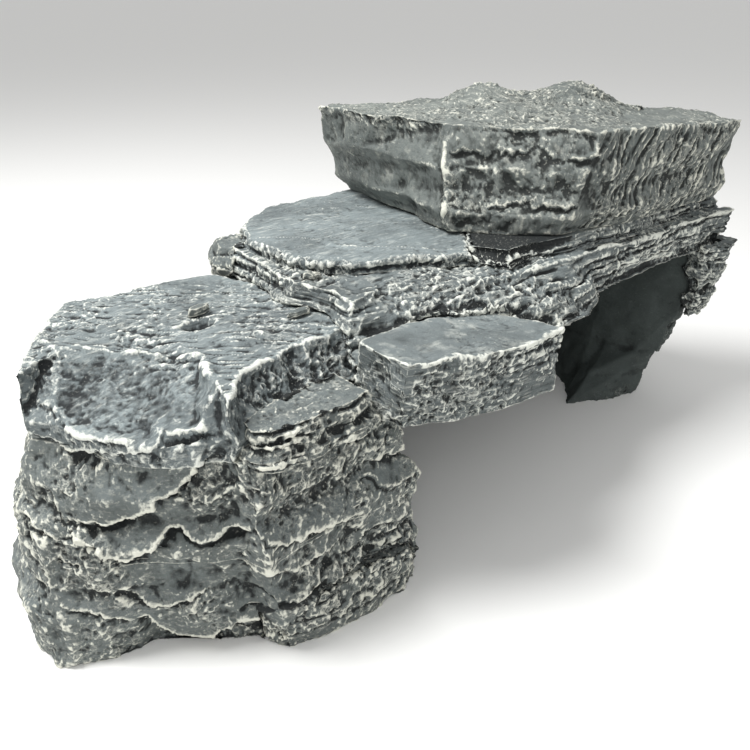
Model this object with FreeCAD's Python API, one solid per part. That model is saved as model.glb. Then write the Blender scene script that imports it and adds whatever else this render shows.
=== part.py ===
import FreeCAD, Part
import os

# Cave ornament: cast polyresin stones, bonded together over an open-bottomed cave.
# Millimetres. +Z is up, +X runs from the low tower to the high crown, and -Y is the
# side with the cave mouth. The origin is under the middle of the whole ornament, on the
# plane that it stands on.

# ---- driving sizes ----
tower_length = 160.0            # low tower, along X at the floor
tower_depth = 160.0             # low tower, along Y at the floor
cave_span = 190.0               # clear floor between the tower and the pier's inner toe
base_course_height = 46.0       # first course of the tower
middle_course_height = 42.0     # second course of the tower
cap_height = 28.0               # tower cap, from its bed to the deck
cap_skirt = 10.0                # from the cap's bed up to its lip
tower_wall = 12.0               # wall of the hollow courses behind their lips
deck_thickness = 10.0           # resin left over the tower's hollow

slab_rebate = 12.0              # half lap of the bridge slab over the deck's edge
slab_thickness = 22.0           # bridge slab
slab_bearing = 28.0             # how far the slab laps onto the tower
slab_behind = 40.0              # slab behind the tower's back foot line
slab_overhang = 11.0            # slab in front of the tower's front foot line
well_length = 84.0              # opening in the roof that lets the cave rise into the crown
well_margin = 1.0               # the opening's block runs this far past the stones it cuts

landing_lap = 37.0              # landing slab under the crown's west end
landing_depth = 146.0
landing_thickness = 8.0
seat_length = 210.0

crown_length = 206.0
crown_depth = 186.0
crown_height = 53.0             # at the crown's west end
crown_fall = 7.0                # how much lower the crown's top is at its east end
crown_skin = 9.0                # resin left over the crown's hollow
crown_overhang = 18.0           # crown beyond the bridge slab's east end
ridge_length = 126.0
ridge_depth = 122.0
ridge_height = 14.0             # above the crown's west end
ridge_rebate = 1.0              # bedded depth of the ridge in the crown's low end
ridge_inset_west = 50.0         # ridge inside the crown's west end
ridge_inset_front = 46.0        # ridge behind the crown's front
crown_front = 10.0              # crown behind the tower's front foot line
landing_front = 44.0            # landing slab behind the tower's front foot line
landing_setback = 5.0           # landing slab over the tower's east edge
seat_front = 18.0               # crown seat behind the tower's front foot line
seat_back = 22.0                # bridge slab's back edge behind the seat's
seat_reach = 4.0                # seat beyond the bridge slab's east end
well_inset_west = 48.0          # roof opening inside the crown's west end
well_front = 52.0               # roof opening behind the tower's front foot line
well_back = 12.0                # roof opening behind the tower's back foot line

pier_width = 94.0
pier_show = 6.0                 # pier beyond the bridge slab's east end
pier_depth = 120.0
pier_front = 8.0                # pier behind the tower's front foot line
pier_inner_lean = 6.0           # pier block starts this far outside its inner toe
pier_waist_level = 30.0         # the pier's toe flares out below this
back_wall_depth = 95.0
back_wall_lap = 50.0            # back wall beside the tower's rear corner
wall_overlap = 30.0             # back wall over the tower's east end
wall_setback = 9.0              # back wall inside the pier's east side
ledge_length = 84.0
ledge_depth = 54.0
ledge_height = 31.0
ledge_proud = 24.0              # ledge block in front of the tower's foot line
ledge_overlap = 30.0            # ledge block over the tower's corner
ledge_fall = 5.0                # how much lower the ledge block's top is at its east end
cornice_length = 42.0
cornice_depth = 40.0
cornice_drop = 44.0             # cornice below the cave ceiling
cornice_lap = 4.0               # cornice above the cave ceiling, cut back to the bridge slab
cornice_inset = 55.0            # cornice outside the pier's inner side
cornice_proud = 3.0             # cornice in front of the tower's front foot line
shelf_length = 66.0
shelf_depth = 36.0
shelf_height = 16.0
shelf_inset = 27.0              # shelf inside the tower's east edge
shelf_front = 1.0               # shelf behind the tower's front foot line
foot_stone_length = 84.0
foot_stone_depth = 26.0
foot_stone_height = 24.0
foot_stone_inset = 8.0          # foot stone inside the tower's east edge
foot_stone_proud = 2.5          # foot stone in front of the tower's foot line
knob_length = 34.0
knob_depth = 36.0
knob_height = 2.0               # above the bridge slab's top
knob_lift = 4.0                 # knob's underside above the bridge slab's underside
knob_overlap = 14.0             # knob over the tower's east edge
knob_inset = 23.0               # knob in front of the tower's back foot line
flake_length = 13.0
flake_depth = 7.0
flake_height = 4.0
flake_sunk = 2.0                # bedded depth of a flake in the stone below
bead_drop = 6.0                 # cured resin bead under the ceiling
bead_flare = 0.15               # share of the bead's width that is left at its foot
crumb_share = 0.05              # shavings under this share of a stone's main body are cleaned off

# ---- levels and stations that follow from them ----
middle_bed = base_course_height
cap_bed = middle_bed + middle_course_height
deck_level = cap_bed + cap_height
cap_lip_level = cap_bed + cap_skirt
roof_height = deck_level - slab_rebate
slab_top = roof_height + slab_thickness
crown_bed = slab_top + landing_thickness
crown_top = crown_bed + crown_height
slab_west = tower_length - slab_bearing
pier_west = tower_length + cave_span - pier_inner_lean
slab_length = pier_west + pier_width - pier_show - slab_west
slab_east = slab_west + slab_length
slab_depth = slab_overhang + tower_depth + slab_behind
crown_west = slab_east + crown_overhang - crown_length
landing_west = tower_length - landing_setback
landing_length = crown_west + landing_lap - landing_west
seat_depth = slab_depth - slab_overhang - seat_back
well_depth = tower_depth - well_front + well_back
back_wall_front = tower_depth - back_wall_lap
wall_west = tower_length - wall_overlap
wall_length = pier_west + pier_width - wall_setback - wall_west

# west end, front and bed of each loose flake: on the deck, at the slab's step, on the slab
flake_places = [(100.0, 96.0, deck_level), (128.0, 62.0, deck_level), (150.0, 76.0, slab_top)]

# ---- outlines, in percent of each stone's own length and depth ----
tower_foot = [(0, 48), (1, 39), (13, 31), (24, 29), (34, 19), (46, 11), (49, 3), (58, 1), (75, 1),
              (87, 1), (96, 4), (99, 31), (97, 69), (89, 96), (59, 100), (29, 94), (8, 76)]
tower_head = [(11, 55), (15, 44), (19, 30), (26, 21), (34, 16), (40, 14), (41, 6), (53, 9), (71, 11),
              (84, 11), (91, 9), (98, 31), (97, 69), (89, 93), (61, 94), (41, 97), (19, 72)]
cap_lip = [(11, 55), (15, 44), (19, 30), (26, 21), (34, 16), (40, 14), (42, 10), (52, 13), (70, 16),
           (84, 17), (92, 19), (98, 38), (97, 69), (89, 93), (61, 94), (41, 97), (19, 72)]
deck_edge = [(12, 56), (24, 61), (36, 58), (44, 44), (49, 36), (44, 19), (39, 8), (51, 19), (70, 25),
             (83, 26), (93, 28), (98, 41), (97, 69), (89, 93), (61, 94), (41, 97), (19, 70)]
shelf_edge = [(0, 26), (12, 8), (45, 1), (82, 3), (98, 17), (98, 97), (50, 92), (8, 70)]
shelf_top = [(4, 32), (14, 14), (46, 6), (80, 10), (94, 24), (96, 97), (50, 92), (10, 70)]
foot_stone_foot = [(8, 60), (14, 24), (34, 8), (62, 3), (88, 8), (100, 30), (97, 92), (50, 96), (12, 92)]
foot_stone_head = [(6, 60), (14, 30), (34, 12), (62, 6), (86, 14), (94, 40), (92, 92), (50, 96), (12, 92)]
ledge_foot = [(3, 40), (32, 20), (65, 7), (92, 0), (97, 34), (89, 93), (42, 96), (5, 89)]
ledge_head = [(0, 24), (30, 7), (65, 0), (99, 2), (101, 30), (94, 93), (42, 96), (6, 89)]
slab_low = [(0, 17), (11, 6), (26, 0), (42, 1), (54, 8), (63, 11), (74, 12), (87, 11), (99, 10),
            (101, 24), (97, 57), (84, 86), (67, 100), (48, 100), (31, 93), (14, 89), (6, 76), (2, 48)]
slab_high = [(6, 26), (14, 30), (26, 20), (38, 13), (51, 14), (63, 11), (74, 11), (87, 10), (99, 9),
             (100, 24), (97, 57), (84, 86), (67, 100), (48, 100), (31, 93), (16, 87), (8, 74), (5, 48)]
landing_edge = [(1, 62), (0, 32), (15, 19), (30, 12), (56, 0), (70, 10), (91, 25), (100, 45),
                (100, 99), (64, 99), (39, 96), (15, 81)]
seat_edge = [(0, 18), (4, 4), (20, 3), (47, 1), (75, 1), (96, 1), (99, 18), (94, 52), (75, 85),
             (51, 99), (28, 99), (13, 85), (5, 52)]
crown_foot = [(11, 95), (7, 75), (-2, 33), (5, 20), (15, 10), (39, 4), (63, 3), (86, 3), (93, 20),
              (87, 32), (80, 43), (68, 68), (50, 96), (31, 90), (15, 96)]
crown_head = [(0, 94), (1, 75), (5, 40), (15, 22), (25, 6), (44, 4), (63, 2), (84, 0), (97, 21),
              (90, 32), (81, 39), (68, 70), (51, 99), (31, 92), (9, 99)]
ridge_foot = [(9, 86), (1, 62), (13, 42), (31, 18), (54, 2), (80, 2), (99, 13), (87, 38), (69, 70),
              (46, 98)]
ridge_head = [(20, 74), (15, 62), (21, 49), (35, 30), (50, 16), (72, 14), (81, 22), (70, 42),
              (51, 63), (36, 75)]
pier_foot = [(6, 43), (32, 34), (61, 28), (72, 35), (89, 62), (88, 90), (74, 95), (53, 92), (40, 75),
             (32, 62), (21, 53)]
pier_waist = [(52, 46), (55, 30), (64, 21), (78, 25), (92, 54), (89, 89), (74, 96), (62, 92), (57, 77),
              (54, 66), (51, 56)]
pier_head = [(66, 42), (66, 25), (70, 3), (93, 2), (99, 33), (91, 87), (74, 98), (65, 93), (63, 78),
             (62, 68), (63, 54)]
cornice_foot = [(17, 52), (36, 42), (64, 48), (74, 72), (50, 92), (21, 82)]
cornice_head = [(2, 25), (36, 2), (78, 12), (88, 58), (66, 95), (21, 88)]
crown_hollow = [(14, 30), (30, 14), (82, 10), (84, 24), (66, 60), (48, 82), (16, 82), (12, 60)]
well_edge = [(0, 20), (15, 0), (85, 0), (100, 18), (100, 82), (85, 100), (15, 100), (0, 80)]
knob_edge = [(0, 40), (12, 6), (64, 0), (100, 34), (88, 90), (36, 100)]
flake_edge = [(0, 40), (30, 0), (80, 10), (100, 55), (60, 100), (15, 85)]
wall_outside = [(1, 46), (14, 76), (32, 88), (49, 95), (67, 95), (84, 61), (97, 17)]
wall_inside = [(93, 11), (81, 51), (65, 82), (49, 83), (32, 77), (16, 64), (5, 38)]
bead_inside = [(91, 4), (79, 45), (64, 75), (49, 76), (33, 70), (17, 57), (7, 32)]


def place_outline(place, outline):
    """Turn an outline in percent into millimetres, in the stone's own place."""
    west, front, length, depth = place
    return [(west + length * x / 100.0, front + depth * y / 100.0) for x, y in outline]


def middle_of(points):
    count = float(len(points))
    return sum(x for x, y in points) / count, sum(y for x, y in points) / count


def swell_outline(points, swell):
    """Move every corner away from the outline's middle by swell, or inwards if negative."""
    middle_x, middle_y = middle_of(points)
    moved = []
    for x, y in points:
        reach = FreeCAD.Vector(x - middle_x, y - middle_y, 0)
        factor = 1.0 + swell / reach.Length
        moved.append((middle_x + reach.x * factor, middle_y + reach.y * factor))
    return moved


def blend_outlines(first, second, share):
    """Corner by corner mix of two outlines that have the same number of corners."""
    return [(a[0] + (b[0] - a[0]) * share, a[1] + (b[1] - a[1]) * share) for a, b in zip(first, second)]


def facet(*corners):
    return Part.Face(Part.makePolygon(list(corners) + [corners[0]]))


def stack_rings(rings):
    """Close a stack of level rings of corners with triangular sides and flat ends."""
    faces = [facet(*rings[0]), facet(*rings[-1])]
    for low, high in zip(rings, rings[1:]):
        for i in range(len(low)):
            j = (i + 1) % len(low)
            faces.append(facet(low[i], low[j], high[j]))
            faces.append(facet(low[i], high[j], high[i]))
    solid = Part.Solid(Part.Shell(faces))
    if solid.Volume < 0:
        solid.reverse()
    return solid


def build_stone(foot, head, low, high, profile, fall=0.0):
    """One cast stone. profile lists (share of the height, swell); fall lowers the east end's top."""
    west = min(x for x, y in head)
    length = max(x for x, y in head) - west
    rings = []
    for share, swell in profile:
        outline = swell_outline(blend_outlines(foot, head, share), swell)
        level = low + (high - low) * share
        rings.append([FreeCAD.Vector(x, y, level - fall * share * (x - west) / length) for x, y in outline])
    return stack_rings(rings)


def trim(stone, *neighbours):
    """Cut a stone back to the stones that it is bonded against, and clean off the shavings."""
    for neighbour in neighbours:
        stone = stone.cut(neighbour)
    main_volume = max(body.Volume for body in stone.Solids)
    bodies = [body for body in stone.Solids if body.Volume > crumb_share * main_volume]
    return bodies[0] if len(bodies) == 1 else Part.makeCompound(bodies)


def tower_face(share):
    """Outline of the tower's outer face, from the floor (0) to the level of the cap's lip (1)."""
    place = (0.0, 0.0, tower_length, tower_depth)
    return blend_outlines(place_outline(place, tower_foot), place_outline(place, tower_head), share)


def course_outlines(low, high):
    return tower_face(low / cap_lip_level), tower_face(high / cap_lip_level)


def make_foot_stone():
    west = tower_length - foot_stone_inset - foot_stone_length
    place = (west, -foot_stone_proud, foot_stone_length, foot_stone_depth)
    foot = place_outline(place, foot_stone_foot)
    head = place_outline(place, foot_stone_head)
    return build_stone(foot, head, 0.0, foot_stone_height, [(0, 0), (0.45, 2), (0.8, 1), (1, -1)])


def make_tower_base_course(foot_stone):
    foot, head = course_outlines(0.0, middle_bed)
    profile = [(0, -1), (0.2, 1), (0.5, 4), (0.72, 0), (1, 3)]
    stone = build_stone(foot, head, 0.0, middle_bed, profile)
    hollow = build_stone(foot, head, 0.0, middle_bed, [(0, -tower_wall), (1, -tower_wall)])
    return trim(stone, hollow, foot_stone)


def make_tower_middle_course():
    foot, head = course_outlines(middle_bed, cap_bed)
    profile = [(0, 3), (0.2, 5), (0.45, -1), (0.7, 2), (1, -3)]
    stone = build_stone(foot, head, middle_bed, cap_bed, profile)
    hollow = build_stone(foot, head, middle_bed, cap_bed, [(0, -tower_wall), (1, -tower_wall)])
    return trim(stone, hollow)


def make_tower_cap():
    place = (0.0, 0.0, tower_length, tower_depth)
    lip = place_outline(place, cap_lip)
    deck = place_outline(place, deck_edge)
    skirt = build_stone(lip, lip, cap_bed, cap_lip_level, [(0, -2), (1, 0)])
    scoop = build_stone(lip, deck, cap_lip_level, deck_level, [(0, 0), (1, 0)])
    ceiling = deck_level - deck_thickness
    hollow = build_stone(deck, deck, cap_bed, ceiling, [(0, -tower_wall), (1, -tower_wall)])
    return trim(skirt.fuse(scoop).removeSplitter(), hollow)


def make_niche_shelf(cap):
    place = (tower_length - shelf_inset - shelf_length, shelf_front, shelf_length, shelf_depth)
    edge = place_outline(place, shelf_edge)
    top = place_outline(place, shelf_top)
    profile = [(0, -1), (0.28, 1), (0.36, -2), (0.62, 0), (0.7, -2), (1, -1)]
    return trim(build_stone(edge, top, cap_bed, cap_bed + shelf_height, profile), cap)


def make_ledge_block(cap, shelf):
    place = (tower_length - ledge_overlap, -ledge_proud, ledge_length, ledge_depth)
    foot = place_outline(place, ledge_foot)
    head = place_outline(place, ledge_head)
    profile = [(0, 0), (0.35, 1), (0.7, 0), (1, 0)]
    stone = build_stone(foot, head, cap_bed, cap_bed + ledge_height, profile, ledge_fall)
    return trim(stone, cap, shelf)


def make_bridge_slab(cap, shelf, ledge, well):
    place = (slab_west, -slab_overhang, slab_length, slab_depth)
    low = place_outline(place, slab_low)
    high = place_outline(place, slab_high)
    profile = [(0, -3), (0.25, 0), (0.5, 2), (0.75, 1), (1, 0)]
    return trim(build_stone(low, high, roof_height, slab_top, profile), cap, shelf, ledge, well)


def make_landing_slab():
    edge = place_outline((landing_west, landing_front, landing_length, landing_depth), landing_edge)
    return build_stone(edge, edge, slab_top, crown_bed, [(0, 0), (0.5, 1), (1, -2)])


def make_crown_seat(landing, well):
    place = (slab_east + seat_reach - seat_length, seat_front, seat_length, seat_depth)
    edge = place_outline(place, seat_edge)
    return trim(build_stone(edge, edge, slab_top, crown_bed, [(0, 2), (0.5, 0), (1, -3)]), landing, well)


def make_crown_block():
    place = (crown_west, crown_front, crown_length, crown_depth)
    foot = place_outline(place, crown_foot)
    head = place_outline(place, crown_head)
    profile = [(0, -3), (0.2, 3), (0.42, 0), (0.6, 3), (1, 0)]
    stone = build_stone(foot, head, crown_bed, crown_top, profile, crown_fall)
    edge = place_outline(place, crown_hollow)
    hollow = build_stone(edge, edge, crown_bed, crown_top - crown_skin, [(0, 0), (1, 0)], crown_fall)
    return trim(stone, hollow)


def make_crown_ridge(crown):
    place = (crown_west + ridge_inset_west, crown_front + ridge_inset_front, ridge_length, ridge_depth)
    foot = place_outline(place, ridge_foot)
    head = place_outline(place, ridge_head)
    low = crown_top - crown_fall - ridge_rebate
    stone = build_stone(foot, head, low, crown_top + ridge_height, [(0, 0), (0.6, 3), (0.85, 2), (1, -3)])
    return trim(stone, crown)


def make_rear_pier():
    place = (pier_west, pier_front, pier_width, pier_depth)
    foot = place_outline(place, pier_foot)
    waist = place_outline(place, pier_waist)
    head = place_outline(place, pier_head)
    toe = build_stone(foot, waist, 0.0, pier_waist_level, [(0, 0), (0.5, -2), (1, 0)])
    leg = build_stone(waist, head, pier_waist_level, roof_height, [(0, 0), (0.5, 0), (0.8, 1), (1, 0)])
    return toe.fuse(leg).removeSplitter()


def make_pier_cornice(pier, slab):
    place = (pier_west + cornice_inset, -cornice_proud, cornice_length, cornice_depth)
    foot = place_outline(place, cornice_foot)
    head = place_outline(place, cornice_head)
    low = roof_height - cornice_drop
    profile = [(0, 0), (0.3, 2), (0.36, -1), (0.66, 1), (0.72, -2), (1, 0)]
    return trim(build_stone(foot, head, low, roof_height + cornice_lap, profile), pier, slab)


def make_back_wall(*neighbours):
    place = (wall_west, back_wall_front, wall_length, back_wall_depth)
    outside = place_outline(place, wall_outside)
    inside = place_outline(place, wall_inside)
    plan = outside + inside
    return trim(build_stone(plan, plan, 0.0, roof_height, [(0, 0), (1, 0)]), *neighbours)


def make_back_knob(cap, slab, landing):
    place = (tower_length - knob_overlap, tower_depth - knob_inset, knob_length, knob_depth)
    edge = place_outline(place, knob_edge)
    profile = [(0, -3), (0.5, 2), (1, -5)]
    stone = build_stone(edge, edge, roof_height + knob_lift, slab_top + knob_height, profile)
    return trim(stone, cap, slab, landing)


def make_loose_flakes(*bedding):
    """Small chips that are bedded in the deck and in the bridge slab's top."""
    flakes = []
    for west, front, level in flake_places:
        edge = place_outline((west, front, flake_length, flake_depth), flake_edge)
        profile = [(0, 0), (0.6, 0), (1, -1)]
        flakes.append(build_stone(edge, edge, level - flake_sunk, level + flake_height, profile))
    return trim(Part.makeCompound(flakes), *bedding)


def make_bond_beads(*neighbours):
    """Bead of cured resin in the corner between the back wall and the cave ceiling."""
    place = (wall_west, back_wall_front, wall_length, back_wall_depth)
    wall = place_outline(place, wall_inside)
    wide = place_outline(place, bead_inside)
    narrow = blend_outlines(wall, wide, bead_flare)
    foot = wall + narrow[::-1]
    head = wall + wide[::-1]
    bead = build_stone(foot, head, roof_height - bead_drop, roof_height, [(0, 0), (1, 0)])
    return trim(bead, *neighbours)


def make_crown_well():
    """Opening through the seat and the bridge slab, between the pier and the landing slab."""
    edge = place_outline((crown_west + well_inset_west, well_front, well_length, well_depth), well_edge)
    return build_stone(edge, edge, roof_height - well_margin, crown_bed + well_margin, [(0, 0), (1, 0)])


def build_parts():
    well = make_crown_well()
    foot_stone = make_foot_stone()
    base = make_tower_base_course(foot_stone)
    middle = make_tower_middle_course()
    cap = make_tower_cap()
    shelf = make_niche_shelf(cap)
    ledge = make_ledge_block(cap, shelf)
    slab = make_bridge_slab(cap, shelf, ledge, well)
    landing = make_landing_slab()
    seat = make_crown_seat(landing, well)
    crown = make_crown_block()
    ridge = make_crown_ridge(crown)
    pier = make_rear_pier()
    cornice = make_pier_cornice(pier, slab)
    wall = make_back_wall(base, middle, cap, pier)
    knob = make_back_knob(cap, slab, landing)
    flakes = make_loose_flakes(cap, slab)
    beads = make_bond_beads(wall, middle, cap, pier)
    return {
        "tower_base_course": base,
        "tower_middle_course": middle,
        "tower_cap": cap,
        "foot_stone": foot_stone,
        "niche_shelf": shelf,
        "ledge_block": ledge,
        "bridge_slab": slab,
        "landing_slab": landing,
        "crown_seat": seat,
        "crown_block": crown,
        "crown_ridge": ridge,
        "rear_pier": pier,
        "pier_cornice": cornice,
        "back_wall": wall,
        "back_knob": knob,
        "loose_flakes": flakes,
        "bond_beads": beads,
    }


def write_parts(parts):
    """Move the ornament over its origin and write one file for each stone."""
    box = Part.makeCompound(list(parts.values())).BoundBox
    shift = FreeCAD.Vector(-box.Center.x, -box.Center.y, -box.ZMin)
    os.makedirs("parts", exist_ok=True)
    for name, shape in parts.items():
        shape.translate(shift)
        shape.exportStep("parts/" + name + ".step")
        print(name, "solids", len(shape.Solids), "valid", shape.isValid(), "volume", round(shape.Volume))
    print("box", round(box.XLength, 1), round(box.YLength, 1), round(box.ZLength, 1), "shift", shift)


write_parts(build_parts())
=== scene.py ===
import math

import bpy
import numpy as np
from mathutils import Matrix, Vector


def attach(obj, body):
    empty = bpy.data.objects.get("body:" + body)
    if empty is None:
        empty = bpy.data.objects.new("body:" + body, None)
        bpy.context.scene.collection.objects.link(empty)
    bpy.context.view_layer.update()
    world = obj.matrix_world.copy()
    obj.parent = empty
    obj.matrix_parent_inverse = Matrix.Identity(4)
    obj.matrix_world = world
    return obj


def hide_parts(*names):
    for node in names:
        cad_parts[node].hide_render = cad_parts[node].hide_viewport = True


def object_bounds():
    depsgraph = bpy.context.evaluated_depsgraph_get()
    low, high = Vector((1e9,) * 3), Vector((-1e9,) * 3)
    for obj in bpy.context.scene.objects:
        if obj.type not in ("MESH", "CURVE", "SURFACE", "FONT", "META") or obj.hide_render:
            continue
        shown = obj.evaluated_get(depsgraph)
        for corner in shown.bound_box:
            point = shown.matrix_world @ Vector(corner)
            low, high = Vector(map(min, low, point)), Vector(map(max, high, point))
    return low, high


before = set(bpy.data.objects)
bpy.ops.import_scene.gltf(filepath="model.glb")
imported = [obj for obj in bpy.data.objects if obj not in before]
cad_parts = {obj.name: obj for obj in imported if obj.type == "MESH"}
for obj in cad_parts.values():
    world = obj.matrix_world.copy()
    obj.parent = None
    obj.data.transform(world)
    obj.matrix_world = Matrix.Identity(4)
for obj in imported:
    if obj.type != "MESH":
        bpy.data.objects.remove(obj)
cad_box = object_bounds()

MM = 0.001
ROOT = "root"

# Points across the tower's front faces are measured along this level direction, in mm.
ACROSS = np.array([0.736, -0.677])
# The tower's front corner looks this way.
FRONT = np.array([-0.677, -0.736])


# ---------------------------------------------------------------- random relief
def dice(cell, seed):
    """One even random value from 0 to 1 for each whole-number cell."""
    whole = cell.astype(np.int64).astype(np.uint32)
    mixed = whole[:, 0] * np.uint32(2654435761)
    mixed = mixed ^ (whole[:, 1] * np.uint32(2246822519))
    mixed = mixed ^ (whole[:, 2] * np.uint32(3266489917))
    mixed = mixed ^ np.uint32((seed * 668265263 + 374761393) % 4294967296)
    mixed = (mixed ^ (mixed >> np.uint32(15))) * np.uint32(2246822519)
    mixed = (mixed ^ (mixed >> np.uint32(13))) * np.uint32(3266489917)
    mixed = mixed ^ (mixed >> np.uint32(16))
    return mixed / 4294967296.0


def lumps(points, size, seed):
    """Smooth lumps about size mm apart, from -1 to 1."""
    place = points / size
    cell = np.floor(place)
    part = place - cell
    part = part * part * (3.0 - 2.0 * part)
    total = np.zeros(len(points))
    for corner in np.ndindex(2, 2, 2):
        weight = np.ones(len(points))
        for axis, side in enumerate(corner):
            weight = weight * (part[:, axis] if side else 1.0 - part[:, axis])
        total += weight * dice(cell + np.array(corner), seed)
    return total * 2.0 - 1.0


def grit(points, size, seed, octaves=4, keep=0.55):
    """Lumps with finer lumps on them."""
    total = np.zeros(len(points))
    strength = 1.0
    for octave in range(octaves):
        total += strength * lumps(points, size / 2.0 ** octave, seed + octave)
        strength *= keep
    return total


def chips(points, size, seed):
    """Broken cells about size mm wide: distance to the middle, to the crack, the middle, a random value."""
    place = points / size
    base = np.floor(place)
    near = np.full(len(points), 9.0)
    second = near.copy()
    middle = np.zeros_like(points)
    value = np.zeros(len(points))
    for step in np.ndindex(3, 3, 3):
        cell = base + np.array(step) - 1.0
        offset = np.stack([dice(cell, seed), dice(cell, seed + 11), dice(cell, seed + 23)], axis=1)
        spot = cell + offset
        gap = np.linalg.norm(place - spot, axis=1)
        closer = gap < near
        second = np.where(closer, near, np.minimum(second, gap))
        near = np.where(closer, gap, near)
        middle[closer] = spot[closer]
        value = np.where(closer, offset[:, 0], value)
    return near * size, (second - near) * size, middle * size, value


def ramp(value, low, high):
    """0 below low, 1 above high, smooth between them."""
    share = np.clip((value - low) / (high - low), 0.0, 1.0)
    return share * share * (3.0 - 2.0 * share)


# ---------------------------------------------------------------- carving strokes
def facets(points, size, seed, tilt):
    """Flat chips, each at its own slope, that die out towards the creases between them."""
    _, gap, middle, _ = chips(points, size, seed)
    key = np.round(middle * 8.0)
    slope = np.stack([dice(key, seed + k) for k in (31, 37, 41)], axis=1) - 0.5
    return tilt * ramp(gap, 0.0, 0.45 * size) * np.sum((points - middle) * slope, axis=1)


def eave(points, across, line, out, plate, under, reach, seed, tear=1.0):
    """A plate that leans out as it goes down, and stops in a torn lip with an undercut below it."""
    stations = [point[0] for point in line]
    levels = [point[1] for point in line]
    torn = tear * (1.9 * lumps(points, 9.0, seed) + 1.5 * lumps(points, 3.6, seed + 1))
    above = points[:, 2] - np.interp(across, stations, levels) - torn
    ends = ramp(across, stations[0] - 5.0,
                stations[0] + 3.0) * (1.0 - ramp(across, stations[-1] - 3.0, stations[-1] + 5.0))
    high = out * np.exp(-np.maximum(above, 0.0) / plate)
    low = -under * np.exp(-np.maximum(-above, 0.0) / reach)
    step = ramp(above, -0.7, 0.5)
    strong = ends * (0.3 + 0.9 * ramp(lumps(points * np.array([1.0, 1.0, 0.4]), 13.0, seed + 2), -0.45, 0.25))
    lip = strong * (low * (1.0 - step) + high * step)
    face = ends * ramp(above, 0.8, 2.6) * (1.0 - ramp(above, 1.2 * plate, 2.2 * plate))
    shade = ends * (1.0 - step) * np.exp(-np.maximum(-above, 0.0) / reach)
    return np.stack([lip, face, shade])


def crack(points, path, width, depth):
    """A groove along a path of points."""
    points = points + np.stack([1.6 * lumps(points, 6.0, 921 + k) for k in range(3)], axis=1)
    nearest = np.full(len(points), 1e9)
    for start, end in zip(path, path[1:]):
        start = np.array(start, float)
        span = np.array(end, float) - start
        share = np.clip((points - start) @ span / (span @ span), 0.0, 1.0)
        nearest = np.minimum(nearest, np.linalg.norm(points - start - share[:, None] * span, axis=1))
    return -depth * np.exp(-(nearest / width) ** 2)


def wander(points):
    """Slow drift that keeps the stones' edges from running straight; neighbours drift together."""
    drift = [2.3 * lumps(points, 27.0, 901 + k) + 1.3 * lumps(points, 10.0, 911 + k) for k in range(3)]
    return np.stack(drift, axis=1)


# The crown's top at its west end, and how far it falls along its length, in mm
CROWN_TOP = 187.0
CROWN_FALL = 7.0
CROWN_WEST = 24.0
CROWN_LENGTH = 198.0
# Two humps and the low rise under them: place x, place y, spread, height
CROWN_HUMPS = ((91.0, 30.0, 13.0, 9.0), (141.0, -5.0, 16.0, 10.8), (114.0, 12.0, 36.0, 8.0))


def hill(points):
    """Level of the crown's top at each place: a low rise with two humps on it."""
    level = CROWN_TOP - CROWN_FALL * (points[:, 0] - CROWN_WEST) / CROWN_LENGTH
    for x, y, spread, height in CROWN_HUMPS:
        away = (points[:, 0] - x) ** 2 + (points[:, 1] - y) ** 2
        level = level + height * np.exp(-away / (2.0 * spread ** 2))
    return level


def hollow(points, middle, radii):
    """1 in the middle of a rounded region and 0 outside it."""
    offset = (points - np.array(middle, float)) / np.array(radii, float)
    return np.clip(1.0 - np.sum(offset * offset, axis=1), 0.0, 1.0) ** 1.5


def pits(points, size, seed, depth, share=0.5):
    """Round bubbles in the casting, in part of the cells only."""
    near, _, _, value = chips(points, size, seed)
    return -depth * np.where(value < share, np.clip(1.0 - near / (0.42 * size), 0.0, 1.0) ** 0.7, 0.0)


def laminae(points, level, thickness, seed, step, groove):
    """Thin split layers: each layer ends at its own depth, with a groove between two layers."""
    rank = np.floor(level / thickness)
    share = level / thickness - rank
    level_key = np.stack([rank, rank * 0.0, rank * 0.0], axis=1)
    jut = 0.65 * dice(level_key, seed) + 0.35 * lumps(points * np.array([1.0, 1.0, 0.0]) + rank[:, None]
                                                      * 7.0, 17.0, seed + 5)
    split = np.exp(-(np.minimum(share, 1.0 - share) * thickness / 0.55) ** 2)
    lively = ramp(lumps(points, 14.0, seed + 9), -0.5, 0.3)
    return step * (jut - 0.5) - groove * split * lively


# ---------------------------------------------------------------- meshes
def net(mesh):
    """Corner positions in mm and the edges between them."""
    places = np.empty(len(mesh.vertices) * 3)
    mesh.vertices.foreach_get("co", places)
    edges = np.empty(len(mesh.edges) * 2, np.int64)
    mesh.edges.foreach_get("vertices", edges)
    return places.reshape(-1, 3) / MM, edges.reshape(-1, 2)


def outward(mesh):
    normals = np.empty(len(mesh.vertices) * 3)
    mesh.vertex_normals.foreach_get("vector", normals)
    return normals.reshape(-1, 3)


def relax(values, edges, rounds):
    """Average each corner with its neighbours, rounds times."""
    count = np.bincount(edges.ravel(), minlength=len(values)).astype(float)
    count = np.maximum(count, 1.0)
    values = np.array(values, float)
    for _ in range(rounds):
        total = np.empty_like(values)
        for k in range(values.shape[1]):
            forward = np.bincount(edges[:, 0], weights=values[edges[:, 1], k], minlength=len(values))
            backward = np.bincount(edges[:, 1], weights=values[edges[:, 0], k], minlength=len(values))
            total[:, k] = (forward + backward) / count
        values = 0.5 * values + 0.5 * total
    return values


def set_places(mesh, places):
    mesh.vertices.foreach_set("co", (places * MM).ravel())
    mesh.update()


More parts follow.
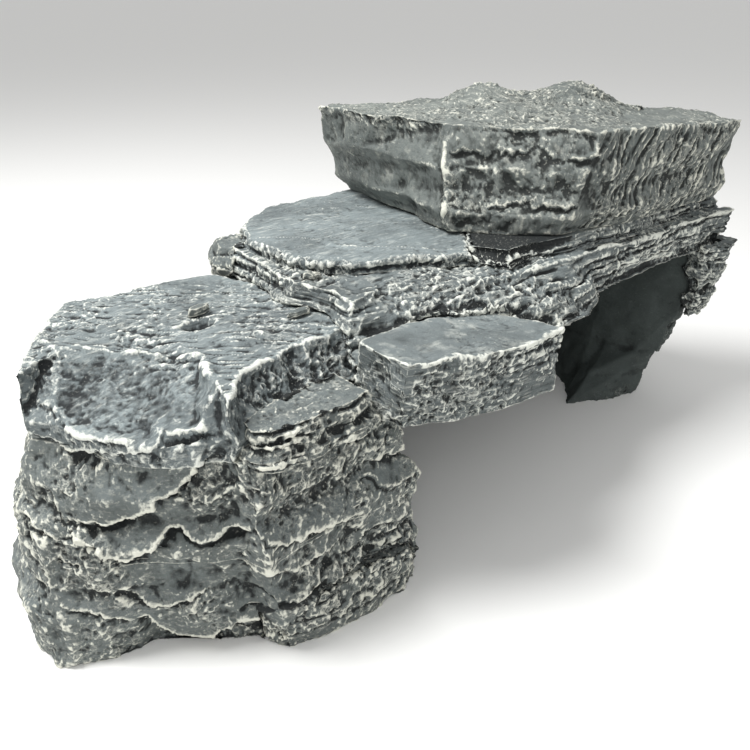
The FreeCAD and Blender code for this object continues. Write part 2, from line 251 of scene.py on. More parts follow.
def dense_copy(node, grain, raise_bed=None):
    """A copy of the stone's casting with an even skin of squares, grain mm wide."""
    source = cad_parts[node]
    mesh = source.data.copy()
    piece = bpy.data.objects.new(node + "_cast", mesh)
    bpy.context.scene.collection.objects.link(piece)
    if raise_bed:
        places, _ = net(mesh)
        bed, lift = raise_bed
        places[:, 2] = np.where(np.abs(places[:, 2] - bed) < 0.2, places[:, 2] + lift, places[:, 2])
        set_places(mesh, places)
    skin = piece.modifiers.new("skin", "REMESH")
    skin.mode = "VOXEL"
    skin.voxel_size = grain * MM
    graph = bpy.context.evaluated_depsgraph_get()
    dense = bpy.data.meshes.new_from_object(piece.evaluated_get(graph))
    piece.modifiers.clear()
    piece.data = dense
    dense.materials.clear()
    for polygon in dense.polygons:
        polygon.use_smooth = True
    return piece


def write_tint(mesh, name, values):
    tint = mesh.attributes.new(name, "FLOAT", "POINT")
    tint.data.foreach_set("value", np.asarray(values, np.float32))


# How far a corner stands out of its surroundings before the dry brush takes it fully, in mm
CREST_TIGHT = 0.13
CREST_MEDIUM = 0.48
CREST_BROAD = 1.4
# Above this a crest takes no more paint, so that the brush still skips on it
CREST_MOST = 3.2

# Passes of smoothing that find tight, medium and broad corners, on a mesh of USUAL_GRAIN mm
TIGHT_PASSES = 3
MEDIUM_PASSES = 14
BROAD_PASSES = 50
USUAL_GRAIN = 1.15
# Room left between the relief and the box, in mm
BOX_ROOM = 0.05

box_low = np.array(cad_box[0]) / MM
box_high = np.array(cad_box[1]) / MM


def sculpt(node, grain, carve, paint, rough=1.0, bubbly=1.0, raise_bed=None, beds=(0.0,),
           under_hill=False):
    """Carve one stone, measure its crests and crevices for the dry brush, the dark wash and the painted
    shade, and put it in the stone's place.
    """
    piece = dense_copy(node, grain, raise_bed)
    mesh = piece.data
    places, edges = net(mesh)
    normals = relax(outward(mesh), edges, 4)
    normals = normals / np.maximum(np.linalg.norm(normals, axis=1), 1e-6)[:, None]
    start = places.copy()
    push, calm, painted_light_and_shade = carve(places, normals)
    heading = normals.copy()
    drift = wander(places)
    drift[:, 2] *= 0.5
    for bed in beds:
        heading[:, 2] *= ramp(np.abs(start[:, 2] - bed), 0.2, 3.0)
        drift[:, 2] *= ramp(np.abs(start[:, 2] - bed), 0.2, 9.0)
    places = places + push[:, None] * heading + drift
    if under_hill:
        places[:, 2] = np.minimum(places[:, 2], hill(places))
    set_places(mesh, places)
    # fine chips and grain on top of the carved shape
    normals = outward(mesh)
    loose = 1.0 - calm
    broken = facets(start, 7.0, 61, 0.30) + 0.5 * lumps(start * np.array([1.0, 1.0, 1.7]), 5.0, 67)
    grain_relief = 0.42 * grit(start, 3.0, 71, 3, 0.7)
    rough_spots = ramp(grit(start, 26.0, 75, 2), -0.55, 0.35)
    bubbles = bubbly * rough_spots * (pits(start, 3.2, 77, 1.4, 0.24) + pits(start, 6.5, 79, 1.8, 0.10))
    veins = 1.5 * np.exp(-np.abs(grit(start, 6.5, 83, 3, 0.6)) / 0.22) - 0.4
    lively = 0.5 + 0.8 * rough_spots
    fine = loose * rough * (lively * (0.8 * broken + 0.9 * grain_relief + 0.75 * veins)
                            + bubbles) + calm * (0.25 * grain_relief + 0.25 * broken)
    for bed in beds:
        normals[:, 2] *= ramp(np.abs(start[:, 2] - bed), 0.2, 2.0)
    places = places + fine[:, None] * normals
    places = np.clip(places, box_low + BOX_ROOM, box_high - BOX_ROOM)
    places[:, 2] = np.where(start[:, 2] < 0.3 * grain, np.maximum(start[:, 2], 0.0), places[:, 2])
    set_places(mesh, places)
    # what the brush and the wash find, and where the painted shade goes
    normals = outward(mesh)
    rounds = (USUAL_GRAIN / grain) ** 2
    tight = np.sum((places - relax(places, edges, round(TIGHT_PASSES * rounds))) * normals, axis=1)
    medium_places = relax(places, edges, round(MEDIUM_PASSES * rounds))
    medium = np.sum((places - medium_places) * normals, axis=1)
    broad = np.sum((places - relax(medium_places, edges, round(BROAD_PASSES * rounds))) * normals, axis=1)
    crest = tight / CREST_TIGHT + 0.25 * medium / CREST_MEDIUM + 0.35 * broad / CREST_BROAD
    write_tint(mesh, "crest", np.minimum(crest, CREST_MOST))
    # crevice darkness: the dark wash in small crevices, plus painted shade from the medium and broad scales
    # and from the painted-shade regions
    write_tint(mesh, "crevice_wash_and_shade", -0.5 * tight / CREST_TIGHT - medium / CREST_MEDIUM - 0.55
               * broad / CREST_BROAD + painted_light_and_shade)
    write_tint(mesh, "calm", calm)
    write_tint(mesh, "rough_zone", rough_spots * loose)
    mesh.materials.append(paint)
    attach(piece, ROOT)
    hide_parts(node)
    print("sculpted", node, len(mesh.polygons) * 2)
    return piece


# ---------------------------------------------------------------- paint
def colour(code):
    """An sRGB hex code as the linear colour that the renderer wants."""
    parts = [int(code[k:k + 2], 16) / 255.0 for k in (1, 3, 5)]
    linear = [part / 12.92 if part <= 0.04045 else ((part + 0.055) / 1.055) ** 2.4 for part in parts]
    return (*linear, 1.0)


def add(tree, kind, feeds=(), **settings):
    """Add one node, set it up, and feed its sockets with values or with other nodes' outputs."""
    node = tree.nodes.new(kind)
    for name, value in settings.items():
        setattr(node, name, value)
    for socket, feed in feeds:
        if isinstance(feed, bpy.types.NodeSocket):
            tree.links.new(feed, node.inputs[socket])
        else:
            node.inputs[socket].default_value = feed
    return node


def mottle(tree, place, size_mm, detail=4.0, roughness=0.55):
    """Cloudy variation about size_mm across."""
    feeds = [("Vector", place), ("Scale", 1000.0 / size_mm), ("Detail", detail), ("Roughness", roughness)]
    return add(tree, "ShaderNodeTexNoise", feeds).outputs["Fac"]


def span(tree, value, low, high, start=0.0, end=1.0):
    """Spread value from low..high over start..end."""
    feeds = [("Value", value), ("From Min", low), ("From Max", high), ("To Min", start), ("To Max", end)]
    return add(tree, "ShaderNodeMapRange", feeds, clamp=True).outputs["Result"]


def sum_of(tree, first, second, factor=1.0):
    scaled = add(tree, "ShaderNodeMath", [(0, second), (1, factor)], operation="MULTIPLY").outputs[0]
    return add(tree, "ShaderNodeMath", [(0, first), (1, scaled)], operation="ADD").outputs[0]


def times(tree, first, second):
    return add(tree, "ShaderNodeMath", [(0, first), (1, second)], operation="MULTIPLY").outputs[0]


def coat(tree, under, over, amount):
    """Lay one colour over another by amount."""
    node = add(tree, "ShaderNodeMix", [(0, amount)], data_type="RGBA")
    for socket, feed in ((6, under), (7, over)):
        if isinstance(feed, bpy.types.NodeSocket):
            tree.links.new(feed, node.inputs[socket])
        else:
            node.inputs[socket].default_value = feed
    return node.outputs[2]


def painted_resin(name, grey, wash, chalk, dark_wash_and_shade, chalk_reach, wash_share, stroke, turn, stroke_share):
    """Cast polyresin stone: grey base coat, blue-grey wash that is lighter on upward faces as painted light
    from above, dark wash in crevices with painted shade under lips and in hollows, off-white dry-brush.
    """
    paint = bpy.data.materials.new(name)
    paint.use_nodes = True
    tree = paint.node_tree
    tree.nodes.clear()
    place = add(tree, "ShaderNodeTexCoord").outputs["Object"]
    crest = add(tree, "ShaderNodeAttribute", attribute_name="crest").outputs["Fac"]
    crevice_wash_and_shade = add(tree, "ShaderNodeAttribute", attribute_name="crevice_wash_and_shade").outputs["Fac"]
    calm = add(tree, "ShaderNodeAttribute", attribute_name="calm").outputs["Fac"]
    rough_zone = add(tree, "ShaderNodeAttribute", attribute_name="rough_zone").outputs["Fac"]
    facing_up = add(tree, "ShaderNodeSeparateXYZ",
                    [(0, add(tree, "ShaderNodeNewGeometry").outputs["Normal"])]).outputs["Z"]
    # base coat, uneven over about 22 mm and over 5 mm
    cloudy = sum_of(tree, mottle(tree, place, 22.0), mottle(tree, place, 5.0, 3.0), 0.6)
    base = coat(tree, colour(dark_wash_and_shade), colour(grey), span(tree, cloudy, 0.45, 0.95, 0.55, 1.0))
    # blue-grey wash stays on the smooth faces; its share on the upward faces is painted light from above
    wash_and_top_light = sum_of(tree, times(tree, calm, wash_share), span(tree, facing_up, 0.1, 0.95), wash_share)
    wash_and_top_light = times(tree, wash_and_top_light, span(tree, mottle(tree, place, 30.0, 3.0), 0.35, 0.62, 0.25, 1.0))
    base = coat(tree, base, colour(wash), span(tree, wash_and_top_light, 0.0, 1.0, 0.0, 0.9))
    # brush strokes and split grain, stroke mm long on each axis
    turned = add(tree, "ShaderNodeMapping",
                 [("Vector", place), ("Rotation", turn),
                  ("Scale", tuple(1000.0 / size for size in stroke))]).outputs[0]
    strokes = add(tree, "ShaderNodeTexNoise",
                  [("Vector", turned), ("Scale", 1.0), ("Detail", 5.0), ("Roughness", 0.6)]).outputs["Fac"]
    patchy = times(tree, span(tree, mottle(tree, place, 16.0, 3.0), 0.38, 0.6, 0.35, 1.0),
                   span(tree, calm, 0.4, 1.0, 1.0, 0.45))
    base = coat(tree, base, colour(chalk),
                times(tree, span(tree, strokes, 0.54, 0.74, 0.0, stroke_share), patchy))
    base = coat(tree, base, colour(dark_wash_and_shade),
                times(tree, span(tree, strokes, 0.45, 0.28, 0.0, stroke_share), patchy))
    # net of thin pale rims round the casting's small pits
    shaken = add(tree, "ShaderNodeTexNoise",
                 [("Vector", place), ("Scale", 1000.0 / 3.5), ("Detail", 3.0)]).outputs["Color"]
    shaken = add(tree, "ShaderNodeVectorMath", [(0, shaken), (1, (0.006, 0.006, 0.006))],
                 operation="MULTIPLY").outputs[0]
    shaken = add(tree, "ShaderNodeVectorMath", [(0, place), (1, shaken)], operation="ADD").outputs[0]
    rim_gap = add(tree, "ShaderNodeTexVoronoi", [("Vector", shaken), ("Scale", 1000.0 / 2.7)],
                  feature="DISTANCE_TO_EDGE").outputs["Distance"]
    open_net = times(tree, span(tree, mottle(tree, place, 6.0, 3.0), 0.42, 0.6),
                     span(tree, rough_zone, 0.1, 0.9, 0.06, 1.0))
    base = coat(tree, base, colour(dark_wash_and_shade), times(tree, span(tree, rim_gap, 0.16, 0.42, 0.0, 0.6), open_net))
    base = coat(tree, base, colour(chalk), times(tree, span(tree, rim_gap, 0.13, 0.02, 0.0, 0.45), open_net))
    # dark wash settles in the crevices; the broad hollows, the undercuts and the marked regions add painted
    # shade in the same dark colour
    sunk = sum_of(tree, crevice_wash_and_shade, mottle(tree, place, 1.6, 3.0), 0.9)
    base = coat(tree, base, colour(dark_wash_and_shade), span(tree, sunk, 0.75, 2.4, 0.0, 0.94))
    # dry brush catches the crests, and skips
    skips = sum_of(tree, mottle(tree, place, 1.5, 4.0, 0.75), mottle(tree, place, 9.0, 2.0), 0.8)
    caught = sum_of(tree, crest, skips, 4.6)
    base = coat(tree, base, colour(chalk),
                span(tree, caught, 5.5 - chalk_reach, 7.2 - chalk_reach, 0.0, 0.95))
    # flicks of the brush on the rough grain
    flick = times(tree, span(tree, mottle(tree, place, 1.3, 3.0, 0.6), 0.60, 0.72),
                  span(tree, rough_zone, 0.1, 0.8, 0.12, 0.55))
    base = coat(tree, base, colour(chalk), flick)
    grain = mottle(tree, place, 0.9, 4.0, 0.65)
    relief = sum_of(tree, grain, strokes, 1.6 * stroke_share)
    relief = sum_of(tree, relief, times(tree, span(tree, rim_gap, 0.0, 0.4), open_net), -0.8)
    bump = add(tree, "ShaderNodeBump", [("Strength", 0.8), ("Distance", 0.0007),
                                        ("Height", relief)]).outputs["Normal"]
    shader = add(tree, "ShaderNodeBsdfPrincipled",
                 [("Base Color", base), ("Roughness", 0.72), ("Normal", bump)])
    shader.inputs["Specular IOR Level"].default_value = 0.35
    add(tree, "ShaderNodeOutputMaterial", [("Surface", shader.outputs[0])])
    return paint


ACROSS_TURN = math.radians(42.6)
stone_paint = painted_resin("cast_polyresin_stone_grey_dry_brushed", "#626866", "#7b8485", "#dcdccf",
                            "#15191a", 0.1, 0.35, (3.0, 3.0, 1.6), (0.0, 0.0, 0.0), 0.55)
deck_paint = painted_resin("cast_polyresin_deck_blue_grey_wash", "#656d6e", "#8b9596", "#e4e6dd",
                           "#171b1d", 0.0, 0.5, (9.0, 1.9, 1.9), (0.0, 0.0, ACROSS_TURN), 0.95)
shale_paint = painted_resin("cast_polyresin_shale_split_layers", "#626969", "#838c8d", "#dfe1d7",
                            "#121617", 0.1, 0.4, (14.0, 14.0, 1.3), (0.0, 0.0, 0.0), 0.85)
crown_paint = painted_resin("cast_polyresin_crown_chiselled", "#5f6563", "#8c928d", "#d8d8cb", "#161a19",
                            -0.2, 0.45, (1.8, 7.0, 11.0), (0.0, -0.5, 0.0), 0.6)
# a darker copy of the stone paint for the pier and the back wall inside the cave: painted shade
shaded_inner_paint = painted_resin("cast_polyresin_inner_face_painted_shade", "#414846", "#4c5453", "#8d918b",
                            "#101413", -0.9, 0.2, (14.0, 14.0, 5.0), (0.0, 0.0, 0.0), 0.15)


def clear_resin():
    """Brushed-on bonding resin that set dark and a little glossy."""
    paint = bpy.data.materials.new("cured_bonding_resin")
    paint.use_nodes = True
    shader = paint.node_tree.nodes["Principled BSDF"]
    shader.inputs["Base Color"].default_value = colour("#23282a")
    shader.inputs["Roughness"].default_value = 0.32
    return paint


# ---------------------------------------------------------------- the stones
def shape_common(points, seed=3, size=17.0, tilt=0.22):
    """The broad chipped shape that every stone has."""
    return facets(points, size, seed, tilt) + 0.9 * lumps(points, 24.0, seed + 2)


TOWER_MIDDLE = np.array([-142.0, -9.0])


def tower_front(points):
    """1 on the tower's two front faces, 0 on its other sides."""
    offset = points[:, :2] - TOWER_MIDDLE
    looks = offset @ FRONT / np.maximum(np.linalg.norm(offset, axis=1), 1.0)
    return ramp(looks, -0.05, 0.35)


CAP_UPPER_LIP = ((-146, 103), (-134, 100), (-129, 97), (-120, 97), (-111, 98), (-104, 99))
CAP_LOWER_LIP = ((-146, 92), (-130, 89), (-121, 91), (-105, 94), (-95, 96), (-91, 99), (-86, 99), (-76, 101))
PATCH_LIP = ((-140, 72), (-135, 64), (-121, 64), (-113, 65), (-108, 67), (-97, 72), (-92, 76), (-86, 80),
             (-78, 88))
LONG_LIP = ((-160, 59), (-151, 60), (-145, 56), (-132, 59), (-125, 57), (-118, 53), (-110, 50),
            (-103, 50), (-98, 56),
            (-94, 61), (-89, 63), (-85, 59), (-80, 57), (-73, 59), (-64, 61), (-58, 62), (-49, 56), (-43, 52),
            (-36, 51), (-22, 49))
RECESS_LIP = ((-115, 34), (-105, 26), (-99, 25), (-89, 28), (-80, 32))
SMALL_LIPS = ((-138, 30), (-134, 26), (-123, 24), (-112, 20))
FOOT_LIP = ((-106, 18), (-102, 8), (-96, 5), (-83, 4), (-75, 9), (-60, 12))
SPUR_LIPS = (
    ((-18, 62), (-8, 53), (6, 43)),
    ((-22, 42), (-8, 38), (6, 34)),
    ((-26, 34), (-14, 31), (2, 29)),
    ((-64, 44), (-52, 41), (-40, 37), (-30, 38)),
    ((-60, 31), (-48, 28), (-34, 27)),
)


TOWER_CORNER = ((-213, -16, 62), (-213, -18, 55), (-213, -23, 41), (-212, -27, 30), (-212, -32, 20),
                (-212, -31, 4))
DECK_LIP = ((-186, 24, 116), (-182, 9, 116), (-174, 10, 116), (-165, 4, 116), (-160, -7, 116),
            (-151, -20, 116),
            (-143, -32, 116), (-149, -48, 116))
NICHE_LIP = ((-147, -65, 116), (-141, -59, 116), (-126, -53, 116), (-111, -50, 116), (-94, -48, 116),
             (-81, -49, 116))


def near_path(points, path, width):
    """1 on a path of points, 0 well away from it."""
    return -crack(points, path, width, 1.0)


def carve_tower(points, normals):
    """The tower's courses: overlapping plates on the front, plain split courses on the other sides."""
    across = points[:, :2] @ ACROSS
    front = tower_front(points)
    push = shape_common(points) - 0.6
    plates = eave(points, across, CAP_LOWER_LIP, 2.4, 8.0, 4.2, 5.0, 101)
    plates += eave(points, across, CAP_UPPER_LIP, 1.5, 5.0, 1.6, 2.5, 105, 0.7)
    plates += eave(points, across, PATCH_LIP, 2.6, 9.0, 3.8, 4.0, 111)
    plates += eave(points, across, LONG_LIP, 2.2, 7.0, 3.6, 5.0, 121)
    plates += eave(points, across, RECESS_LIP, 1.6, 4.0, 2.6, 3.0, 131, 0.7)
    plates += eave(points, across, SMALL_LIPS, 1.2, 3.0, 1.8, 2.5, 141)
    plates += eave(points, across, FOOT_LIP, 1.2, 6.0, 8.5, 7.0, 151, 0.8)
    for k, line in enumerate(SPUR_LIPS):
        plates += eave(points, across, line, 1.7, 5.0, 2.6, 3.0, 161 + 7 * k)
    around = np.zeros(len(points))
    other = np.zeros((3, len(points)))
    for k, level in enumerate((17.0, 34.0, 52.0, 69.0, 84.0, 99.0)):
        wave = level + 4.5 * lumps(points * np.array([1.0, 1.0, 0.0]), 26.0, 201 + k)
        flat = np.stack([points[:, 0], points[:, 1], points[:, 2] - wave], axis=1)
        other += eave(flat, around, ((-50, 0), (50, 0)), 1.7, 5.0, 2.6, 3.5, 211 + k)
    lip, face, shade = front * plates + (1.0 - front) * other
    push = push + lip + facets(points, 12.0, 5, 0.34) + facets(points, 6.5, 6, 0.30)
    # smooth places
    recess = hollow(points, (-175.0, -60.0, 40.0), (17.0, 17.0, 10.0))
    patch = hollow(points, (-177.0, -31.0, 73.0), (20.0, 24.0, 8.0))
    left_face = hollow(points, (-219.0, 2.0, 35.0), (12.0, 26.0, 30.0))
    spur = hollow(points, (-88.0, -86.0, 62.0), (20.0, 14.0, 8.0))
    push = push - 3.2 * recess
    push = push + 2.2 * near_path(points, TOWER_CORNER, 4.0)
    push = push + crack(points, ((-155, -71, 19), (-151, -74, 20), (-139, -87, 25), (-122, -89, 22),
                                 (-99, -90, 21)), 1.6, 3.0)
    calm = 1.4 * recess + 1.5 * patch + 0.8 * left_face + 1.2 * spur + 0.4 * face
    calm = calm + 0.5 * ramp(lumps(points, 21.0, 7), 0.1, 0.6)
    # painted shade in the niche under the deck and in the hollow beside it
    painted_light_and_shade = 1.3 * hollow(points, (-104.0, -66.0, 104.0), (48.0, 26.0, 15.0)) + 1.2 * hollow(points,
                                                            (-140.0, -70.0, 90.0), (16.0, 16.0, 12.0))
    return push, np.clip(calm - shade, 0.0, 1.0), painted_light_and_shade


def carve_cap(points, normals):
    """The cap: the scooped smooth face in front, and the rippled deck on top."""
    push, calm, painted_light_and_shade = carve_tower(points, normals)
    top = ramp(normals[:, 2], 0.55, 0.85) * ramp(points[:, 2], 108.0, 113.0)
    bowl = hollow(points, (-174.0, -22.0, 106.0), (30.0, 40.0, 13.0))
    along = np.stack([points[:, :2] @ ACROSS / 5.0, points[:, :2] @ FRONT, points[:, 2]], axis=1)
    ripples = lumps(along, 3.4, 301) + 0.6 * lumps(along, 2.0, 302)
    ripple_side = 1.0 - np.abs(ripples)
    deck = -1.3 + 1.15 * ripple_side + 1.4 * facets(points, 15.0, 306, 0.12)
    push = push * (1.0 - top) + top * deck
    push = push * (1.0 - 0.85 * ramp(bowl, 0.0, 0.5)) - 2.0 * bowl
    push = push + 1.8 * near_path(points, DECK_LIP, 2.6) + 1.2 * near_path(points, NICHE_LIP, 2.4)
    push = push - 6.0 * hollow(points, (-122.0, 1.0, 116.0), (9.0, 7.0, 6.0))
    push = push - 3.0 * hollow(points, (-150.0, -20.0, 116.0), (8.0, 5.0, 5.0))
    calm = np.clip(calm + 1.5 * bowl + 0.35 * top, 0.0, 1.0) * (1.0 - 0.25 * ramp(bowl, 0.0, 0.35))
    # painted shade on the scooped bowl; the niche shade is kept off the deck top
    return push, calm, painted_light_and_shade * (1.0 - top) + 0.95 * ramp(bowl, 0.0, 0.35)


def carve_shelf(points, normals):
    push = laminae(points, points[:, 2] + 0.8 * lumps(points, 12.0, 401), 3.4, 403, 3.4, 1.6)
    top = ramp(normals[:, 2], 0.6, 0.9)
    return (push + facets(points, 9.0, 405, 0.14)) * (1.0 - 0.8 * top) - 0.4, 0.6 * top, np.zeros(len(points))


def carve_plain(points, normals):
    push = shape_common(points, 7, 11.0, 0.24) - 0.6
    push = push + laminae(points, points[:, 2] + 2.0 * lumps(points, 18.0, 411), 6.5, 413, 2.0, 1.0)
    return push, 0.25 * ramp(normals[:, 2], 0.5, 0.9), np.zeros(len(points))


LEDGE_SEAM = ((-71, -57, 116), (-57, -58, 117), (-41, -61, 118), (-29, -65, 119), (-18, -71, 119),
              (-7, -80, 116),
              (2, -87, 112), (11, -93, 108))
LEDGE_CREST = ((-96, -90, 119), (-84, -103, 118), (-69, -105, 118), (-51, -111, 117), (-25, -110, 115),
               (-11, -110, 114))


def carve_ledge(points, normals):
    """Ledge block: smooth top, split layers at its right end, rough face."""
    top = ramp(normals[:, 2], 0.6, 0.9)
    right = ramp(points[:, 0], -52.0, -30.0)
    level = points[:, 2] + 0.10 * points[:, 0] + 0.7 * lumps(points, 14.0, 421)
    layers = laminae(points, level, 3.6, 423, 3.0, 1.5)
    upper = ramp(points[:, 2], 100.0, 106.0)
    push = shape_common(points, 9, 14.0, 0.20) - 0.9 + layers * (0.12 + 0.88 * right * upper)
    push = push * (1.0 - 0.75 * top)
    seam = near_path(points, LEDGE_SEAM, 3.0)
    crest = near_path(points, LEDGE_CREST, 2.6)
    push = push - 2.0 * seam + 1.1 * crest
    left_face = hollow(points, (-88.0, -84.0, 103.0), (13.0, 15.0, 13.0))
    calm = np.clip(0.75 * top + 0.7 * left_face, 0.0, 1.0)
    # painted shadow along the seam under the bridge slab
    return push, calm, 1.6 * seam


def carve_slab(points, normals):
    """Bridge slab: a band of shale, split into thin layers."""
    top = ramp(normals[:, 2], 0.6, 0.9)
    side = 1.0 - ramp(np.abs(normals[:, 2]), 0.78, 0.95)
    level = points[:, 2] - 0.035 * points[:, 0] + 1.0 * lumps(points, 21.0, 431)
    push = laminae(points, level, 4.1, 433, 4.6, 1.6) * side + laminae(points, level, 8.9, 435, 3.4,
                                                            0.8) * side - 0.8
    along = np.stack([points[:, 0] / 6.0, points[:, 1], points[:, 2]], axis=1)
    combed = 1.0 - np.abs(lumps(along, 4.6, 441) + 0.6 * lumps(along, 2.2, 443))
    push = push + top * (1.3 * combed + 1.5 * facets(points, 16.0, 445, 0.12))
    push = push + crack(points, ((2, -44, 132), (-2, -50, 126), (-9, -56, 120)), 1.4, 3.0)
    seam = near_path(points, LEDGE_SEAM, 3.0)
    # painted shadow along the seam over the ledge block
    return push - 3.0 * seam, 0.2 * top, 2.0 * seam


def carve_landing(points, normals):
    """Landing slab: a smooth washed plate with a thin crisp lip."""
    top = ramp(normals[:, 2], 0.6, 0.9)
    side = 1.0 - ramp(np.abs(normals[:, 2]), 0.3, 0.8)
    along = np.stack([points[:, :2] @ ACROSS / 4.0, points[:, :2] @ FRONT, points[:, 2]], axis=1)
    veins = np.exp(-(lumps(along, 15.0, 451) / 0.09) ** 2)
    push = side * (1.6 * lumps(points, 7.0, 453) - 1.6 * ramp(131.0 - points[:, 2], 0.0, 3.0)) - 0.3
    push = push + top * (0.7 * veins + 1.3 * lumps(points, 30.0, 455) - 0.8 + facets(points, 20.0, 457, 0.05))
    return push, 0.8 * top, np.zeros(len(points))


def carve_seat(points, normals):
    side = 1.0 - ramp(np.abs(normals[:, 2]), 0.35, 0.8)
    push = laminae(points, points[:, 2] + 0.6 * lumps(points, 14.0, 461), 2.7, 463, 3.0, 1.4) * side
    cavity = np.minimum(2.0 * hollow(points, (30.0, -44.0, 133.0), (46.0, 36.0, 14.0)), 1.0)
    push = push + shape_common(points, 11, 12.0, 0.12) - 0.6 - 7.0 * cavity * (1.0 - side)
    # painted shade in the cavity under the crown
    return push, np.zeros(len(points)), 2.6 * cavity


CROWN_RIDGE = ((47, 10, 188), (29, -4, 178), (24, -8, 168), (23, -11, 157), (20, -16, 146), (21, -19, 135))
CROWN_CORNER = ((72, -69, 186), (69, -67, 177), (63, -65, 167), (57, -62, 153), (48, -62, 134))


def carve_crown(points, normals):
    """Crown block: a smooth left face, a stepped front face, a slanting grain on the right face."""
    top = ramp(normals[:, 2], 0.6, 0.9)
    side = 1.0 - ramp(np.abs(normals[:, 2]), 0.35, 0.8)
    heading = points[:, :2] @ ACROSS
    left = ramp(28.0 - heading, 0.0, 8.0) * ramp(FRONT @ normals[:, :2].T, -0.1, 0.3)
    middle = ramp(heading, 24.0, 32.0) * (1.0 - ramp(points[:, 0], 66.0, 76.0)) * side
    right = ramp(points[:, 0], 68.0, 80.0) * ramp(-normals[:, 1], 0.3, 0.7)
    push = (facets(points, 21.0, 471, 0.20) + 0.8 * lumps(points, 26.0, 473)) * (1.0 - 0.6 * left - 0.6
                                                            * right) - 0.8
    push = push + top * np.maximum(hill(points) - 0.8 - points[:, 2], 0.0)
    push = push + middle * (eave(points, heading, ((22, 175), (40, 174), (69, 174), (98, 171)), 1.0, 5.0,
                                 2.6, 4.0, 475, 1.4)[0]
                            + eave(points, heading, ((22, 150), (40, 149), (55, 151), (86, 149)), 1.1,
                                   5.0, 2.4, 4.0, 479, 1.4)[0]
                            + facets(points, 17.0, 481, 0.5) + facets(points, 8.0, 483, 0.22))
    push = push + 2.4 * near_path(points, CROWN_RIDGE, 3.0) + 1.4 * near_path(points, CROWN_CORNER, 2.4)
    slant = np.stack([points[:, 0] * 0.88 - points[:, 2] * 0.47, points[:, 1],
                      (points[:, 2] * 0.88 + points[:, 0] * 0.47) / 9.0], axis=1)
    strokes = 1.0 - np.abs(lumps(slant, 4.0, 491) + 0.6 * lumps(slant, 2.4, 493))
    push = push + right * (2.1 * strokes - 1.4)
    scoop = hollow(points, (196.0, -79.0, 158.0), (20.0, 14.0, 20.0))
    push = push - 4.0 * scoop * right
    push = push + 1.6 * hollow(points, (29.0, 31.0, 172.0), (9.0, 9.0, 8.0))
    rim = ramp(points[:, 2], 178.0, 184.0) * side
    push = push + rim * (1.3 * lumps(points, 8.0, 495))
    calm = np.clip(0.75 * left * (1.0 - rim) + 0.9 * scoop + 0.2 * top + 0.3 * right + 0.65 * middle,
                   0.0, 1.0)
    # painted shade on the sides and the stepped front, painted light on the top
    return push, calm, 0.35 * side + 0.75 * middle - 0.5 * top


def carve_ridge(points, normals):
    push = facets(points, 13.0, 501, 0.26) + 1.2 * lumps(points, 15.0, 503) - 1.0
    # the dark wash and painted shade lessened over the whole ridge
    return 0.5 * push, np.zeros(len(points)), np.full(len(points), -0.5)


def carve_inner(points, normals):
    """Pier and back wall: rough split courses outside, smooth towards the cave."""
    to_cave = np.stack([35.0 - points[:, 0], -20.0 - points[:, 1]], axis=1)
    to_cave = to_cave / np.linalg.norm(to_cave, axis=1)[:, None]
    inner = ramp(np.sum(to_cave * normals[:, :2], axis=1), 0.0, 0.4)
    outer = shape_common(points, 13, 18.0, 0.2) - 0.6
    around = np.zeros(len(points))
    for k, level in enumerate((16.0, 35.0, 51.0, 70.0, 88.0)):
        wave = level + 5.0 * lumps(points * np.array([1.0, 1.0, 0.0]), 30.0, 511 + k)
        flat = np.stack([points[:, 0], points[:, 1], points[:, 2] - wave], axis=1)
        outer += eave(flat, around, ((-50, 0), (50, 0)), 1.8, 6.0, 2.8, 4.0, 521 + k)[0]
    push = outer * (1.0 - inner) + inner * (1.2 * lumps(points, 22.0, 531) - 0.8)
    return push, inner, np.zeros(len(points))


def carve_bead(points, normals):
    return 0.5 * lumps(points, 8.0, 541) - 0.3, np.ones(len(points)), np.zeros(len(points))


sculpt("tower_base_course", 0.95, carve_tower, stone_paint, raise_bed=(46.0, 1.6),
       beds=(0.0, 47.6))
sculpt("tower_middle_course", 0.95, carve_tower, stone_paint, raise_bed=(88.0, 1.6),
       beds=(46.0, 89.6))
sculpt("tower_cap", 0.9, carve_cap, deck_paint, bubbly=0.3, beds=(88.0,))
sculpt("niche_shelf", 0.85, carve_shelf, stone_paint, beds=(88.0,))
sculpt("foot_stone", 0.9, carve_plain, stone_paint)
sculpt("back_knob", 1.1, carve_plain, stone_paint, beds=(108.0,))
sculpt("loose_flakes", 0.7, carve_plain, stone_paint, rough=0.4)
sculpt("ledge_block", 0.95, carve_ledge, shale_paint, beds=(88.0,))
sculpt("bridge_slab", 1.1, carve_slab, shale_paint, bubbly=0.3, beds=(104.0,))
sculpt("crown_seat", 1.3, carve_seat, shale_paint, bubbly=0.3, beds=(126.0, 134.0))
sculpt("pier_cornice", 1.1, carve_plain, shale_paint)
sculpt("landing_slab", 1.2, carve_landing, deck_paint, bubbly=0.3, beds=(126.0,))
sculpt("crown_block", 1.2, carve_crown, crown_paint, bubbly=0.3, beds=(134.0,))
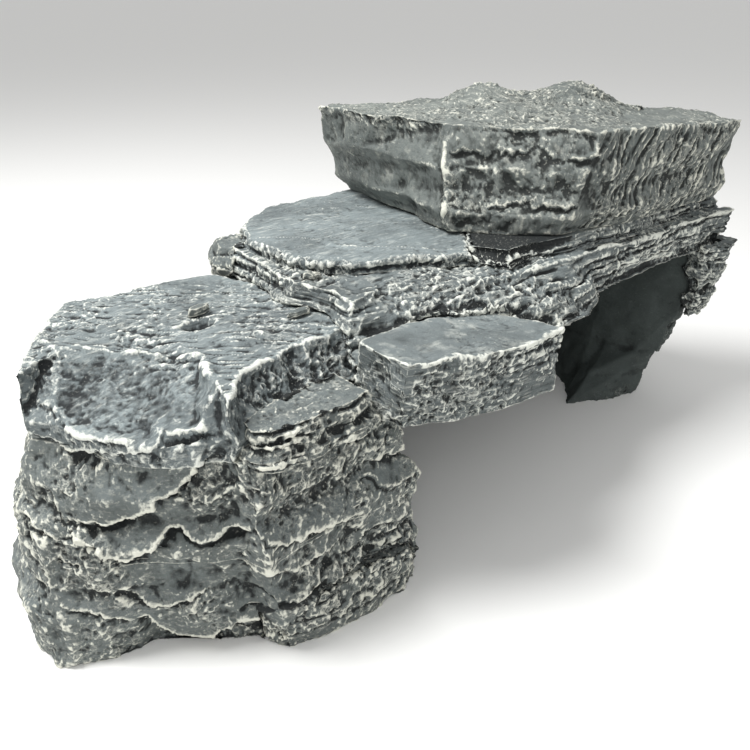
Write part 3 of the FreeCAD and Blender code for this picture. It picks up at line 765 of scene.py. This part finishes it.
sculpt("crown_ridge", 1.2, carve_ridge, crown_paint, under_hill=True)
sculpt("rear_pier", 1.35, carve_inner, shaded_inner_paint)
sculpt("back_wall", 1.5, carve_inner, shaded_inner_paint)
sculpt("bond_beads", 1.3, carve_bead, clear_resin(), rough=0.1)


# ---------------------------------------------------------------- the room
def build_floor():
    mesh = bpy.data.meshes.new("floor")
    reach = 30.0
    mesh.from_pydata([(-reach, -reach, 0), (reach, -reach, 0), (reach, reach, 0), (-reach, reach, 0)],
                     [], [(0, 1, 2, 3)])
    floor = bpy.data.objects.new("floor", mesh)
    bpy.context.scene.collection.objects.link(floor)
    paper = bpy.data.materials.new("matt_white_paper")
    paper.use_nodes = True
    shader = paper.node_tree.nodes["Principled BSDF"]
    shader.inputs["Base Color"].default_value = colour("#f4f4f2")
    shader.inputs["Roughness"].default_value = 0.9
    mesh.materials.append(paper)


def soft_light(name, place, aim, size, watts):
    lamp = bpy.data.lights.new(name, "AREA")
    lamp.shape = "DISK"
    lamp.size = size
    lamp.energy = watts
    holder = bpy.data.objects.new(name, lamp)
    holder.location = place
    holder.rotation_euler = (Vector(aim) - Vector(place)).to_track_quat("-Z", "Y").to_euler()
    bpy.context.scene.collection.objects.link(holder)


build_floor()
soft_light("window_light", (-0.45, 0.25, 1.1), (0.0, 0.0, 0.1), 0.6, 16.0)
soft_light("front_fill", (-0.7, -1.0, 0.6), (0.0, 0.0, 0.1), 0.9, 4.0)

world = bpy.data.worlds.new("pale_room")
world.use_nodes = True
world.node_tree.nodes["Background"].inputs["Color"].default_value = colour("#ffffff")
world.node_tree.nodes["Background"].inputs["Strength"].default_value = 0.6
bpy.context.scene.world = world

lens = bpy.data.cameras.new("camera")
lens.lens = 40.0
lens.sensor_width = 36.0
camera = bpy.data.objects.new("camera", lens)
camera.location = (-0.297, -0.303, 0.250)
camera.rotation_euler = (math.radians(65.0), 0.0, math.radians(-42.6))
bpy.context.scene.collection.objects.link(camera)
bpy.context.scene.camera = camera
bpy.context.scene.view_settings.view_transform = "Standard"
